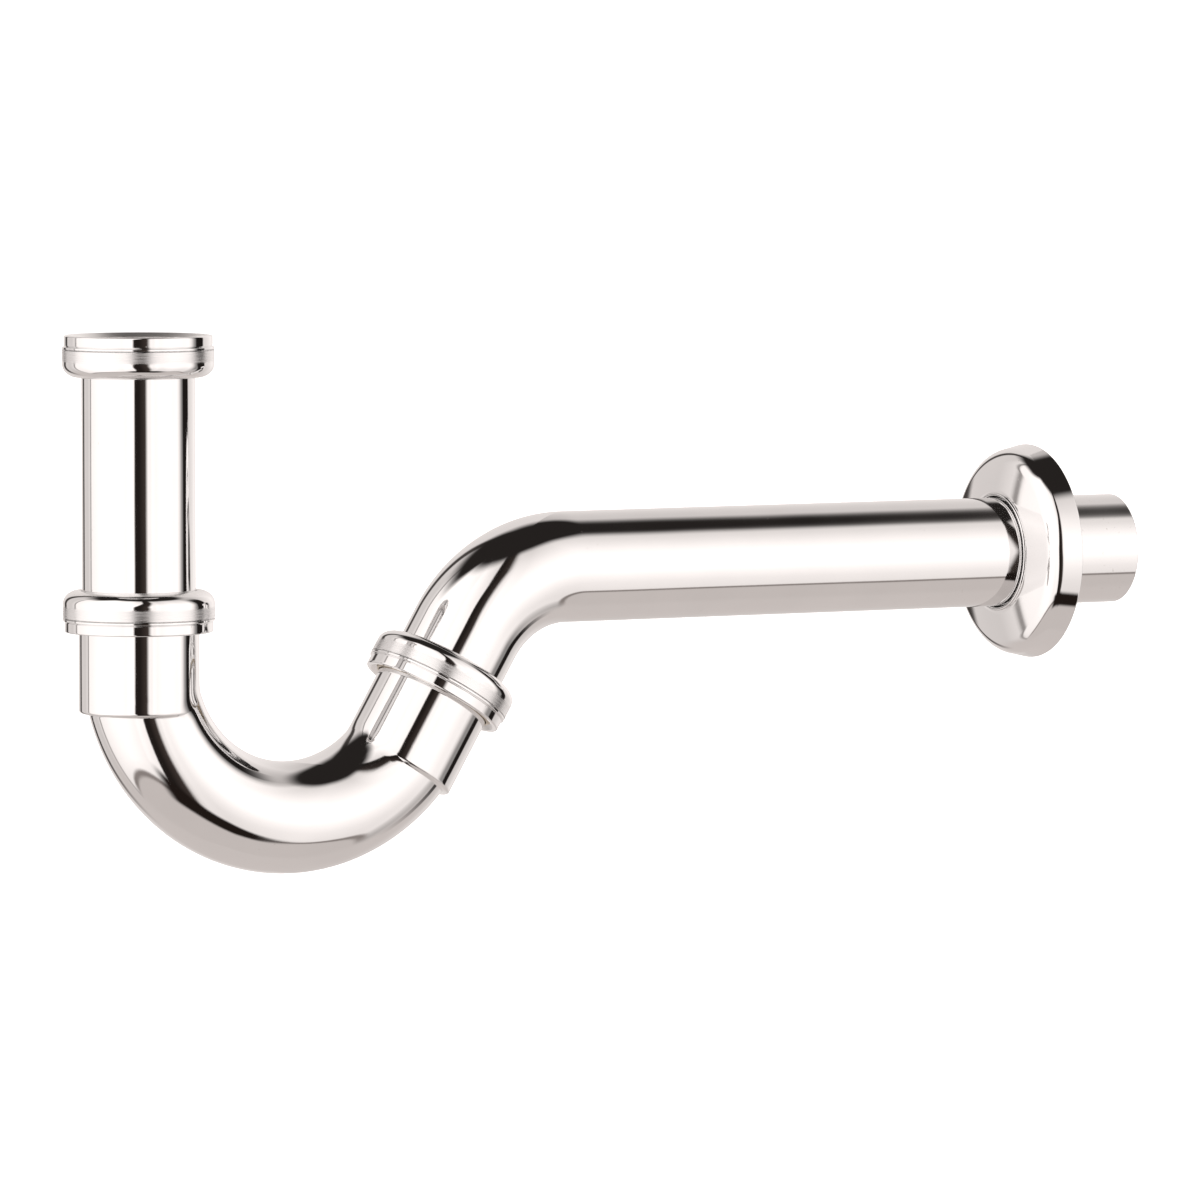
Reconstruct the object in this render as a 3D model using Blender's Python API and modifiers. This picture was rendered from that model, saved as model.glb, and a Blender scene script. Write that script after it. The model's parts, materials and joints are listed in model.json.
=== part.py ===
"""Chromed brass P trap for a basin waste, as the separate pieces it is assembled from.

World frame: the origin is the centre of the inlet seat, on the dip tube's axis, where the basin waste
presses on the flat gasket. +Z is up and +X runs along the wall tube towards the wall.
Every pipe joint is drawn in its own frame: u = 0 is the open end of its union nut and +u runs
through the nut towards its shoulder.
"""
from math import cos, floor, pi, radians, sin, tan

import bmesh
import bpy
from mathutils import Matrix, Vector

MM = 0.001
MERGE = 0.005                  # corners closer than this are one corner
SIDES = 28                     # facets round every turned piece and tube
CRISP_ANGLE = 35.0             # edges sharper than this stay crisp, degrees
CUT_PAST = 5.0                 # how far a bore's cutter runs past an open end

# Tube
TUBE_OD = 35.0
WALL = 0.8
SLIP_GAP = 0.3                 # clearance between pieces that touch or slide

# Heights measured from the start of the U bend, on the inlet axis
SEAT_HEIGHT = 94.2             # inlet seat above the start of the bend
WALL_TUBE_HEIGHT = 24.15       # wall tube's axis above the start of the bend
BEND_RADIUS = 50.8             # centreline of the U bend
OUTLET_ANGLE = 59.2            # rise of the outlet leg above horizontal, degrees
WALL_BEND_RADIUS = 40.0        # centreline of the wall tube's bend
WALL_TUBE_END = 348.2          # open end of the wall tube, from the inlet axis
U_BEND_STEPS = 20
WALL_BEND_STEPS = 10

# Union nuts, all alike
NUT_LENGTH = 12.9
NUT_LIP_R = 22.9
NUT_BAND_R = 23.4
NUT_LIP_LENGTH = 3.4
NUT_BAND_END = 8.9
NUT_SHOULDER_R = 18.6
NUT_SHOULDER_U = 11.2          # inner face of the shoulder that pulls on the slip ring
NUT_RELIEF_U = 8.2             # where the thread ends and the plain bore begins
NUT_RELIEF_R = 21.3
NUT_MOUTH_R = 21.4
NUT_CHAMFER = 0.4              # on both edges of the open end
NUT_LEAD_IN = 1.2              # where the mouth narrows to the thread
NUT_BAND_STEP = 0.5            # length of the slope between lip and band
NUT_SHOULDER_STEPS = 5
NUT_INLET_START = 8.6          # open end of the bend's inlet nut above the start of the bend
NUT_OUTLET_START = 12.4        # open end of the outlet nut past the end of the bend

# G 1 1/4 thread with running clearance
PITCH = 2.309
THREAD_CREST_R = 20.8
THREAD_ROOT_R = 19.4
THREAD_SINK = 0.1              # how far the thread's foot is sunk into the collar
THREAD_FOOT_HALF = 0.75        # half thickness of the thread at its foot
THREAD_SLOPE = 0.367           # loss of half thickness per mm of height
THREAD_CLEARANCE = 0.24        # axial clearance on each flank
THREAD_RUNOUT = 0.9            # plain length at each end of the collar
GROOVE_FOOT = 0.3              # how far the groove's cutter starts inside the nut's bore
NUT_MINOR_R = 19.65
NUT_GROOVE_R = 21.1

# Sockets expanded on the ends of the U bend, with a threaded collar brazed round each
SOCKET_R = 18.6
SOCKET_TOP_U = 5.0
SOCKET_BOTTOM_U = -25.0
SOCKET_FLOOR = 0.8
COLLAR_BORE_R = 18.85
COLLAR_START_U = 0.5
COLLAR_END_U = 7.9

# Seals and rings
RING_OUTER_R = 19.2
SEAL_FOOT_U = 5.3
SEAL_FOOT_R = 18.45
SEAL_NECK_R = 18.6
SEAL_HEAD_U = 8.2
SEAL_TOP_U = 9.5
SLIP_RING_U = 9.8
SLIP_RING_END_U = 10.9

# Inlet end of the dip tube, in the frame of the inlet nut
SEAT_U = 5.6
GASKET_END_U = 8.0
GASKET_BORE_R = 16.9
TUBE_COLLAR_U = 8.3
TUBE_COLLAR_END_U = 9.5
DIP_TUBE_END = -6.0            # lower end of the dip tube, from the start of the bend
ARM_END_U = -13.0              # lower end of the wall tube inside the outlet socket

# Wall flange: distances are from its flat back, towards the room
FLANGE_R = 34.5
FLANGE_BACK_X = 317.1
FLANGE_SHELL = 1.0
FLANGE_DEPTH = 11.7
FLANGE_HUB_R = 19.4
FLANGE_BORE_R = 17.9
FLANGE_LIP = 0.4               # rolled edge round the tube
FLANGE_SIDE_SLANT = 12.5       # degrees that the side leans in from the wall
FLANGE_FACE_SLOPE = 6.0        # degrees that the face rises towards the tube
FLANGE_SHOULDER_R = 6.0        # rounding between side and face
FLANGE_SHOULDER_U = 4.6        # centre of that rounding above the wall
FLANGE_SHOULDER_STEPS = 6
GRIP_RING_R = 1.6              # section of the rubber ring behind the hub
GRIP_RING_STEPS = 7

CHROME = ("chrome", (0.86, 0.85, 0.83), 0.06, 1.0)
BRASS = ("brass", (0.72, 0.55, 0.27), 0.28, 1.0)
RUBBER = ("black_rubber", (0.03, 0.03, 0.032), 0.75, 0.0)
NYLON = ("white_nylon", (0.82, 0.81, 0.77), 0.45, 0.0)

TUBE_R = TUBE_OD / 2
BORE_R = TUBE_R - WALL
SLIDING_R = TUBE_R + SLIP_GAP
RISE = radians(OUTLET_ANGLE)
UP_OUTLET = Vector((cos(RISE), 0, sin(RISE)))
BEND_START = Vector((0, 0, -SEAT_HEIGHT))
BEND_END = BEND_START + BEND_RADIUS * Vector((1 + sin(RISE), 0, -cos(RISE)))
WALL_TUBE_Z = WALL_TUBE_HEIGHT - SEAT_HEIGHT


def axis_frame(point_mm, turn_deg):
    """Frame whose +Z, the u axis, is turned from world +Z towards +X about the Y axis."""
    return Matrix.Translation(Vector(point_mm) * MM) @ Matrix.Rotation(radians(turn_deg), 4, "Y")


INLET_FRAME = axis_frame((0, 0, SEAT_U), 180)
BEND_INLET_FRAME = axis_frame(BEND_START + Vector((0, 0, NUT_INLET_START)), 0)
BEND_OUTLET_FRAME = axis_frame(BEND_END + NUT_OUTLET_START * UP_OUTLET, 90 - OUTLET_ANGLE)
FLANGE_FRAME = axis_frame((FLANGE_BACK_X, 0, WALL_TUBE_Z), -90)


def clear_scene():
    for obj in list(bpy.data.objects):
        bpy.data.objects.remove(obj)


def collection(name):
    made = bpy.data.collections.new(name)
    bpy.context.scene.collection.children.link(made)
    return made


def material(finish):
    name, colour, roughness, metallic = finish
    if name in bpy.data.materials:
        return bpy.data.materials[name]
    made = bpy.data.materials.new(name)
    made.use_nodes = True
    shader = made.node_tree.nodes["Principled BSDF"]
    shader.inputs["Base Color"].default_value = (*colour, 1)
    shader.inputs["Roughness"].default_value = roughness
    shader.inputs["Metallic"].default_value = metallic
    return made


def add_object(name, data, group, frame):
    obj = bpy.data.objects.new(name, data)
    obj.matrix_world = frame
    group.objects.link(obj)
    return obj


def evaluated_mesh(obj):
    """The object's mesh with its modifiers applied, in its own frame."""
    graph = bpy.context.evaluated_depsgraph_get()
    return bpy.data.meshes.new_from_object(obj.evaluated_get(graph))


def merge_close(mesh):
    """Weld corners that coincide, and turn every face outwards."""
    shell = bmesh.new()
    shell.from_mesh(mesh)
    bmesh.ops.remove_doubles(shell, verts=shell.verts, dist=MERGE * MM)
    bmesh.ops.recalc_face_normals(shell, faces=shell.faces)
    shell.to_mesh(mesh)
    shell.free()


def turned(name, outline, group, frame, closed=True):
    """Outline of (radius, u) in mm, outer side listed from high u to low u, turned about u."""
    mesh = bpy.data.meshes.new(name)
    corners = [(radius * MM, 0, u * MM) for radius, u in outline]
    edges = [(i, i + 1) for i in range(len(corners) - 1)]
    if closed:
        edges.append((len(corners) - 1, 0))
    mesh.from_pydata(corners, edges, [])
    obj = add_object(name, mesh, group, frame)
    screw = obj.modifiers.new("turn", "SCREW")
    screw.steps = SIDES
    screw.render_steps = SIDES
    screw.use_merge_vertices = True
    screw.merge_threshold = MERGE * MM
    return obj


def ring(name, inner_r, outer_r, low_u, high_u, group, frame):
    outline = [(outer_r, high_u), (outer_r, low_u), (inner_r, low_u), (inner_r, high_u)]
    return turned(name, outline, group, frame)


def plug(name, radius, low_u, high_u, group, frame):
    """Solid cylinder, drawn as a profile from pole to pole."""
    outline = [(0, high_u), (radius, high_u), (radius, low_u), (0, low_u)]
    return turned(name, outline, group, frame, closed=False)


def bent_bar(name, points, radius, group, frame):
    """Solid round bar along points (mm, in the frame's axes), as a closed mesh."""
    curve = bpy.data.curves.new(name, "CURVE")
    curve.dimensions = "3D"
    curve.bevel_depth = radius * MM
    curve.bevel_resolution = SIDES // 2 - 2
    curve.use_fill_caps = True
    spline = curve.splines.new("POLY")
    spline.points.add(len(points) - 1)
    for spline_point, point in zip(spline.points, points):
        spline_point.co = (*(Vector(point) * MM), 1)
    bar = add_object(name + "_curve", curve, group, frame)
    bpy.context.view_layer.update()
    mesh = evaluated_mesh(bar)
    merge_close(mesh)
    obj = add_object(name, mesh, group, bar.matrix_world.copy())
    bpy.data.objects.remove(bar)
    return obj


def arc(centre, radius, start_deg, end_deg, steps):
    """Points in the XZ plane round a centre, both ends included."""
    angles = [radians(start_deg + (end_deg - start_deg) * i / steps) for i in range(steps + 1)]
    return [Vector(centre) + radius * Vector((cos(a), 0, sin(a))) for a in angles]


def helix_ribbon(name, crest_r, foot_r, clearance, low_u, high_u, group, frame):
    """One right-handed thread of tapering section, from about low_u to high_u.

    Its corners lie half a facet round from those of the turned pieces that it cuts or joins.
    """
    def half(radius):
        sunk = radius - (THREAD_ROOT_R - THREAD_SINK)
        return THREAD_FOOT_HALF - THREAD_SLOPE * sunk + clearance

    foot = half(foot_r)
    crest = half(crest_r)
    section = [(foot_r, foot), (crest_r, crest), (crest_r, -crest), (foot_r, -foot)]
    first_u = (floor(low_u * SIDES / PITCH) + 0.5) * PITCH / SIDES
    phase = 2 * pi * first_u / PITCH
    mesh = bpy.data.meshes.new(name)
    corners = [(r * cos(phase) * MM, r * sin(phase) * MM, (first_u + u) * MM) for r, u in section]
    mesh.from_pydata(corners, [(0, 1), (1, 2), (2, 3), (3, 0)], [])
    obj = add_object(name, mesh, group, frame)
    steps = round(SIDES * (high_u - first_u) / PITCH)
    screw = obj.modifiers.new("helix", "SCREW")
    screw.angle = 2 * pi * steps / SIDES
    screw.screw_offset = PITCH * steps / SIDES * MM
    screw.steps = steps
    screw.render_steps = steps
    bpy.context.view_layer.update()
    swept = evaluated_mesh(obj)
    obj.modifiers.clear()
    thread = bmesh.new()
    thread.from_mesh(swept)
    ends = [edge for edge in thread.edges if edge.is_boundary]
    bmesh.ops.holes_fill(thread, edges=ends, sides=0)
    bmesh.ops.recalc_face_normals(thread, faces=thread.faces)
    thread.to_mesh(swept)
    thread.free()
    obj.data = swept
    return obj


def boolean(obj, tool, operation):
    modifier = obj.modifiers.new(operation.lower(), "BOOLEAN")
    modifier.operation = operation
    modifier.solver = "EXACT"
    modifier.object = tool
    tool.hide_render = True
    tool.display_type = "WIRE"


def finish(obj, finish_values):
    """Give a piece its material and smooth round faces with crisp edges."""
    bpy.context.view_layer.update()
    mesh = evaluated_mesh(obj)
    obj.modifiers.clear()
    obj.data = mesh
    mesh.name = obj.name
    merge_close(mesh)
    mesh.materials.clear()
    mesh.materials.append(material(finish_values))
    mesh.shade_smooth()
    mesh.set_sharp_from_angle(angle=radians(CRISP_ANGLE))
    return obj


def quarter(centre_r, centre_u, radius_r, radius_u, start_deg, end_deg, steps):
    """Elliptical stretch of a turned outline, as (radius, u) points."""
    angles = [radians(start_deg + (end_deg - start_deg) * i / steps) for i in range(steps + 1)]
    return [(centre_r + radius_r * cos(a), centre_u + radius_u * sin(a)) for a in angles]


def union_nut(name, parts, cutters, frame):
    outline = [(SLIDING_R, NUT_LENGTH)]
    outline += quarter(NUT_SHOULDER_R, NUT_BAND_END, NUT_BAND_R - NUT_SHOULDER_R,
                       NUT_LENGTH - NUT_BAND_END, 90, 0, NUT_SHOULDER_STEPS)
    outline += [(NUT_BAND_R, NUT_LIP_LENGTH + NUT_BAND_STEP), (NUT_LIP_R, NUT_LIP_LENGTH)]
    outline += [(NUT_LIP_R, NUT_CHAMFER), (NUT_LIP_R - NUT_CHAMFER, 0), (NUT_MOUTH_R, 0)]
    outline += [(NUT_MOUTH_R, NUT_CHAMFER), (NUT_MINOR_R, NUT_LEAD_IN), (NUT_MINOR_R, NUT_RELIEF_U)]
    outline += [(NUT_RELIEF_R, NUT_RELIEF_U), (NUT_RELIEF_R, NUT_SHOULDER_U)]
    outline += [(SLIDING_R, NUT_SHOULDER_U)]
    nut = turned(name, outline, parts, frame)
    groove = helix_ribbon(name + "_thread", NUT_GROOVE_R, NUT_MINOR_R - GROOVE_FOOT, THREAD_CLEARANCE,
                          -PITCH, NUT_RELIEF_U + PITCH / 2, cutters, frame)
    boolean(nut, groove, "DIFFERENCE")
    return finish(nut, CHROME)


def threaded_collar(name, parts, cutters, frame):
    collar = ring(name, COLLAR_BORE_R, THREAD_ROOT_R, COLLAR_START_U, COLLAR_END_U, parts, frame)
    thread = helix_ribbon(name + "_thread", THREAD_CREST_R, THREAD_ROOT_R - THREAD_SINK, 0,
                          COLLAR_START_U + THREAD_RUNOUT, COLLAR_END_U - THREAD_RUNOUT, cutters, frame)
    boolean(collar, thread, "UNION")
    return finish(collar, BRASS)


def pipe_seal(name, parts, frame):
    outline = [(RING_OUTER_R, SEAL_TOP_U), (RING_OUTER_R, SEAL_HEAD_U), (SEAL_NECK_R, SEAL_HEAD_U)]
    outline += [(SEAL_FOOT_R, SEAL_FOOT_U), (SLIDING_R, SEAL_FOOT_U), (SLIDING_R, SEAL_TOP_U)]
    return finish(turned(name, outline, parts, frame), RUBBER)


def slip_ring(name, parts, frame):
    washer = ring(name, SLIDING_R, RING_OUTER_R, SLIP_RING_U, SLIP_RING_END_U, parts, frame)
    return finish(washer, NYLON)


def dip_tube(name, parts, frame):
    """Straight tube with its top rolled out into the collar that the nut pulls up."""
    bottom_u = SEAT_U + SEAT_HEIGHT - DIP_TUBE_END
    outline = [(TUBE_R, bottom_u), (TUBE_R, TUBE_COLLAR_END_U), (RING_OUTER_R, TUBE_COLLAR_END_U)]
    outline += [(RING_OUTER_R, TUBE_COLLAR_U), (BORE_R, TUBE_COLLAR_U), (BORE_R, bottom_u)]
    return finish(turned(name, outline, parts, frame), CHROME)


def u_bend(name, parts, cutters):
    """Bent tube with a socket expanded on each end; its swivel axis is the inlet axis."""
    frame = Matrix.Translation(BEND_START * MM)
    path = arc((BEND_RADIUS, 0, 0), BEND_RADIUS, 180, 270 + OUTLET_ANGLE, U_BEND_STEPS)
    tail_in = Vector((0, 0, CUT_PAST))
    tail_out = path[-1] + CUT_PAST * UP_OUTLET
    bend = bent_bar(name, path, TUBE_R, parts, frame)
    hollow = bent_bar(name + "_bore", [tail_in] + path + [tail_out], BORE_R, cutters, frame)
    for end, end_frame in (("inlet", BEND_INLET_FRAME), ("outlet", BEND_OUTLET_FRAME)):
        socket = plug(f"{end}_socket", SOCKET_R, SOCKET_BOTTOM_U, SOCKET_TOP_U, cutters, end_frame)
        boolean(bend, socket, "UNION")
    boolean(bend, hollow, "DIFFERENCE")
    for end, end_frame in (("inlet", BEND_INLET_FRAME), ("outlet", BEND_OUTLET_FRAME)):
        bore = plug(f"{end}_socket_bore", SLIDING_R, SOCKET_BOTTOM_U + SOCKET_FLOOR,
                    SOCKET_TOP_U + CUT_PAST, cutters, end_frame)
        boolean(bend, bore, "DIFFERENCE")
    return finish(bend, CHROME)


def wall_tube(name, parts, cutters):
    """Short leg in the outlet socket, a bend, then the long level leg to the wall."""
    origin = BEND_OUTLET_FRAME.to_translation() / MM
    frame = Matrix.Translation(origin * MM)
    lower_end = origin + ARM_END_U * UP_OUTLET
    corner = origin + (WALL_TUBE_Z - origin.z) / UP_OUTLET.z * UP_OUTLET
    bend_start = corner - WALL_BEND_RADIUS * tan(RISE / 2) * UP_OUTLET
    centre = bend_start + WALL_BEND_RADIUS * Vector((sin(RISE), 0, -cos(RISE)))
    bend = arc(centre, WALL_BEND_RADIUS, 90 + OUTLET_ANGLE, 90, WALL_BEND_STEPS)
    far_end = Vector((WALL_TUBE_END, 0, WALL_TUBE_Z))
    past = Vector((CUT_PAST, 0, 0))
    solid = [p - origin for p in [lower_end] + bend + [far_end]]
    hollow = [p - origin for p in [lower_end - CUT_PAST * UP_OUTLET] + bend + [far_end + past]]
    tube = bent_bar(name, solid, TUBE_R, parts, frame)
    boolean(tube, bent_bar(name + "_bore", hollow, BORE_R, cutters, frame), "DIFFERENCE")
    return finish(tube, CHROME)


def wall_flange(name, parts, frame):
    """Cover plate: a shell that is open at the back, with a rolled edge round the tube."""
    slant = radians(FLANGE_SIDE_SLANT)
    slope = radians(FLANGE_FACE_SLOPE)
    side_top = FLANGE_SHOULDER_U + FLANGE_SHOULDER_R * sin(slant)
    shoulder_r = FLANGE_R - FLANGE_SHOULDER_R * cos(slant) - side_top * tan(slant)
    face_edge_r = shoulder_r + FLANGE_SHOULDER_R * sin(slope)
    face_edge_u = FLANGE_SHOULDER_U + FLANGE_SHOULDER_R * cos(slope)
    hub_u = face_edge_u + (face_edge_r - FLANGE_HUB_R) * tan(slope)
    inner_r = FLANGE_SHOULDER_R - FLANGE_SHELL
    face_angle = 90 - FLANGE_FACE_SLOPE
    outline = [(FLANGE_BORE_R + FLANGE_LIP, FLANGE_DEPTH), (FLANGE_HUB_R, hub_u)]
    outline += quarter(shoulder_r, FLANGE_SHOULDER_U, FLANGE_SHOULDER_R, FLANGE_SHOULDER_R,
                       face_angle, FLANGE_SIDE_SLANT, FLANGE_SHOULDER_STEPS)
    outline += [(FLANGE_R, 0), (FLANGE_R - FLANGE_SHELL / cos(slant), 0)]
    outline += quarter(shoulder_r, FLANGE_SHOULDER_U, inner_r, inner_r,
                       FLANGE_SIDE_SLANT, face_angle, FLANGE_SHOULDER_STEPS)
    outline += [(FLANGE_HUB_R, hub_u - FLANGE_SHELL / cos(slope))]
    outline += [(FLANGE_BORE_R, FLANGE_DEPTH - FLANGE_SHELL - FLANGE_LIP)]
    outline += [(FLANGE_BORE_R, FLANGE_DEPTH - FLANGE_LIP)]
    return finish(turned(name, outline, parts, frame), CHROME)


def grip_ring(name, parts, frame):
    centre_r = SLIDING_R + GRIP_RING_R
    centre_u = FLANGE_DEPTH - FLANGE_LIP - FLANGE_SHELL - SLIP_GAP - GRIP_RING_R
    section = quarter(centre_r, centre_u, GRIP_RING_R, GRIP_RING_R, 90, -225, GRIP_RING_STEPS)
    return finish(turned(name, section, parts, frame), RUBBER)


def build():
    clear_scene()
    parts = collection("p_trap")
    cutters = collection("cutters")
    union_nut("inlet_union_nut", parts, cutters, INLET_FRAME)
    slip_ring("inlet_slip_ring", parts, INLET_FRAME)
    gasket = ring("inlet_gasket", GASKET_BORE_R, RING_OUTER_R, SEAT_U, GASKET_END_U, parts, INLET_FRAME)
    finish(gasket, RUBBER)
    dip_tube("dip_tube", parts, INLET_FRAME)
    u_bend("u_bend", parts, cutters)
    for end, frame in (("bend_inlet", BEND_INLET_FRAME), ("bend_outlet", BEND_OUTLET_FRAME)):
        threaded_collar(f"{end}_collar", parts, cutters, frame)
        pipe_seal(f"{end}_seal", parts, frame)
        slip_ring(f"{end}_slip_ring", parts, frame)
        union_nut(f"{end}_nut", parts, cutters, frame)
    wall_tube("wall_tube", parts, cutters)
    wall_flange("wall_flange", parts, FLANGE_FRAME)
    grip_ring("flange_grip_ring", parts, FLANGE_FRAME)


build()
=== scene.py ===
"""Looks of the chromed P trap: fine meshes, plated metal, rubber and nylon, in a plain white studio.

Lengths in the drawing functions are millimetres. Every union nut and what sits inside it is drawn in the
nut's own frame: u = 0 is its open end and +u runs through the nut towards its shoulder.
"""
import json
from math import asin, atan2, ceil, cos, degrees, pi, radians, sin, sqrt, tan

import bpy
import numpy as np
from mathutils import Matrix, Vector


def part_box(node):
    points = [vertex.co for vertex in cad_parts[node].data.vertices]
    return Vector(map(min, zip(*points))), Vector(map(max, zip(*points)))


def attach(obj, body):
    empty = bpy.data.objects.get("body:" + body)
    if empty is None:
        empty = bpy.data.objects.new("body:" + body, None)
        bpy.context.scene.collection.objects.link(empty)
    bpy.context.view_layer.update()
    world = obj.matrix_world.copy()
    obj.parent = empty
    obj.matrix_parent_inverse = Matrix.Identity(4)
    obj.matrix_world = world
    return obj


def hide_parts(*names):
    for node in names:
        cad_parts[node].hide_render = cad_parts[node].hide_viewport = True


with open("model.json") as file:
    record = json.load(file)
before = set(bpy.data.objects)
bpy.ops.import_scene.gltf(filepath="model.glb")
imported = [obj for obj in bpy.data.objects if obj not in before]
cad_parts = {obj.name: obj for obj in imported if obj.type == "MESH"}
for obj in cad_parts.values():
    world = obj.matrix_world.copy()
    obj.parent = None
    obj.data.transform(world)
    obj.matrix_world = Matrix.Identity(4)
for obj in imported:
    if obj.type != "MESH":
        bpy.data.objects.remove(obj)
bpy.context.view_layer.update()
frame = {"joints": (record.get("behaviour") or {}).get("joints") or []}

MM = 0.001
COLUMNS = 144                  # facets round every turned piece and tube
THREAD_ROWS = 0.16             # mm between the rings of points along a thread

# Sizes that the frame's boxes do not state (mm)
WALL = 0.8
SLIP_GAP = 0.3
PITCH = 2.309
THREAD_CREST_R = 20.8
THREAD_ROOT_R = 19.4
NUT_MINOR_R = 19.65
NUT_GROOVE_R = 21.1
RING_OUTER_R = 19.2            # outside of the washers, the seals and the dip tube's collar
SOCKET_R = 18.6
SOCKET_TOP_U = 5.0
SOCKET_BOTTOM_U = -25.0
BEND_RADIUS = 50.8
WALL_BEND_RADIUS = 40.0
ARM_END_U = -13.0              # lower end of the wall tube, inside the slanted socket
DIP_TUBE_END_U = 105.8


def joint(name):
    return next(j for j in frame["joints"] if j["name"] == name)


def axis_frame(point, direction):
    """Frame at a point (metres) whose +Z, the u axis, lies along a direction in the XZ plane."""
    turn = atan2(direction[0], direction[2])
    return Matrix.Translation(Vector(point)) @ Matrix.Rotation(turn, 4, "Y")


bend_start = Vector(joint("bend_swivel")["pos_m"])
bend_nut = joint("bend_nut_unscrew")
outlet_nut = joint("outlet_nut_unscrew")
flange_turn = joint("flange_turn")
INLET_FRAME = axis_frame(joint("inlet_nut_turn")["pos_m"], (0, 0, -1))
BEND_INLET_FRAME = axis_frame(bend_nut["pos_m"], bend_nut["axis"])
BEND_OUTLET_FRAME = axis_frame(outlet_nut["pos_m"], outlet_nut["axis"])
FLANGE_FRAME = axis_frame(flange_turn["pos_m"], (-1, 0, 0))

UP_OUTLET = Vector(outlet_nut["axis"])
RISE = asin(UP_OUTLET.z)
TUBE_R = 17.5
BORE_R = TUBE_R - WALL
SLIDING_R = TUBE_R + SLIP_GAP


# ---------------------------------------------------------------- mesh building

def grid_object(name, rings, matrix, close_rows=True):
    """Smooth closed surface through rings of points (metres), every ring with the same count."""
    rows, columns = rings.shape[0], rings.shape[1]
    row = np.arange(rows if close_rows else rows - 1)
    column = np.arange(columns)
    here = row[:, None] * columns + column
    beside = row[:, None] * columns + (column + 1) % columns
    below = ((row + 1) % rows)[:, None] * columns + column
    across = ((row + 1) % rows)[:, None] * columns + (column + 1) % columns
    faces = np.stack([here, below, across, beside], -1).reshape(-1, 4)
    points = rings.reshape(-1, 3)
    a, b, c, d = (points[faces[:, i]] for i in range(4))
    volume = np.einsum("ij,ij->i", a, np.cross(b, c)).sum() + np.einsum("ij,ij->i", a, np.cross(c, d)).sum()
    if volume < 0:
        faces = faces[:, ::-1]
    mesh = bpy.data.meshes.new(name)
    mesh.from_pydata(points.tolist(), [], faces.tolist())
    mesh.shade_smooth()
    mesh.set_sharp_from_angle(angle=radians(40))
    made = bpy.data.objects.new(name, mesh)
    made.matrix_world = matrix
    bpy.context.scene.collection.objects.link(made)
    return made


def rounded(corners, steps=4, support=0.2):
    """Closed outline of (radius, u, fillet): each corner becomes an arc, held by a point beside it."""
    points = []
    count = len(corners)
    for i, (x, y, fillet) in enumerate(corners):
        corner = Vector((x, y))
        before = Vector(corners[i - 1][:2]) - corner
        after = Vector(corners[(i + 1) % count][:2]) - corner
        if fillet == 0:
            points.append(corner)
            continue
        half = before.angle(after) / 2
        reach = fillet / tan(half)
        centre = corner + (before.normalized() + after.normalized()).normalized() * fillet / sin(half)
        start = before.normalized() * reach + corner - centre
        end = after.normalized() * reach + corner - centre
        if before.length > reach + support:
            points.append(corner + before.normalized() * (reach + support))
        sweep = start.angle(end)
        for k in range(steps + 1):
            share = k / steps
            along = (sin((1 - share) * sweep) * start + sin(share * sweep) * end) / sin(sweep)
            points.append(centre + along)
        if after.length > reach + support:
            points.append(corner + after.normalized() * (reach + support))
    return [(p.x, p.y) for p in points]


def ellipse(centre_r, centre_u, radius_r, radius_u, start_deg, end_deg, steps):
    """Sharp corners along an elliptical stretch of an outline."""
    angles = [radians(start_deg + (end_deg - start_deg) * i / steps) for i in range(steps + 1)]
    return [(centre_r + radius_r * cos(a), centre_u + radius_u * sin(a), 0) for a in angles]


def turned(name, outline, matrix, shift=None):
    """Outline of (radius, u) turned about u. shift(radius, u, angle) moves points in or out."""
    angles = np.arange(COLUMNS) * 2 * pi / COLUMNS
    radius = np.array([p[0] for p in outline])[:, None] + 0 * angles
    u = np.array([p[1] for p in outline])[:, None] + 0 * angles
    if shift:
        radius = radius + shift(radius, u, angles[None, :])
    rings = np.stack([radius * np.cos(angles), radius * np.sin(angles), u], -1) * MM
    return grid_object(name, rings, matrix)


def divided(outline, low_u, high_u, step):
    """The outline with its long straight stretches between low_u and high_u cut into short ones."""
    points = []
    for (r0, u0), (r1, u1) in zip(outline, outline[1:] + outline[:1]):
        points.append((r0, u0))
        middle = (u0 + u1) / 2
        if low_u < middle < high_u and abs(u1 - u0) > step:
            cuts = ceil(abs(u1 - u0) / step)
            points += [(r0 + (r1 - r0) * i / cuts, u0 + (u1 - u0) * i / cuts) for i in range(1, cuts)]
    return points


def swept(name, outline, path, matrix):
    """Outline of (radius, distance along the path) swept round a path in the XZ plane.

    path(distances) gives the centres and the in-plane normals, as arrays of (x, z) in mm.
    """
    angles = np.arange(COLUMNS) * 2 * pi / COLUMNS
    radius = np.array([p[0] for p in outline])[:, None]
    centre, normal = path(np.array([p[1] for p in outline]))
    x = centre[:, :1] + radius * np.cos(angles) * normal[:, :1]
    z = centre[:, 1:] + radius * np.cos(angles) * normal[:, 1:]
    y = radius * np.sin(angles) + 0 * x
    return grid_object(name, np.stack([x, y, z], -1) * MM, matrix)


# ---------------------------------------------------------------- union nuts, seals and rings

def screw_thread(low_u, high_u, height):
    """Right-handed thread of rounded triangular section that runs out at low_u and high_u."""
    fade = PITCH * 0.6

    def shift(radius, u, angle):
        turn = (u / PITCH - angle / (2 * pi)) % 1
        section = np.clip(1.35 - np.abs(turn - 0.5) * 3.9, 0, 1)
        section = section * section * (3 - 2 * section)
        inside = np.clip((u - low_u) / fade, 0, 1) * np.clip((high_u - u) / fade, 0, 1)
        return height * section * np.minimum(1, inside * 1.6)
    return shift


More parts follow.
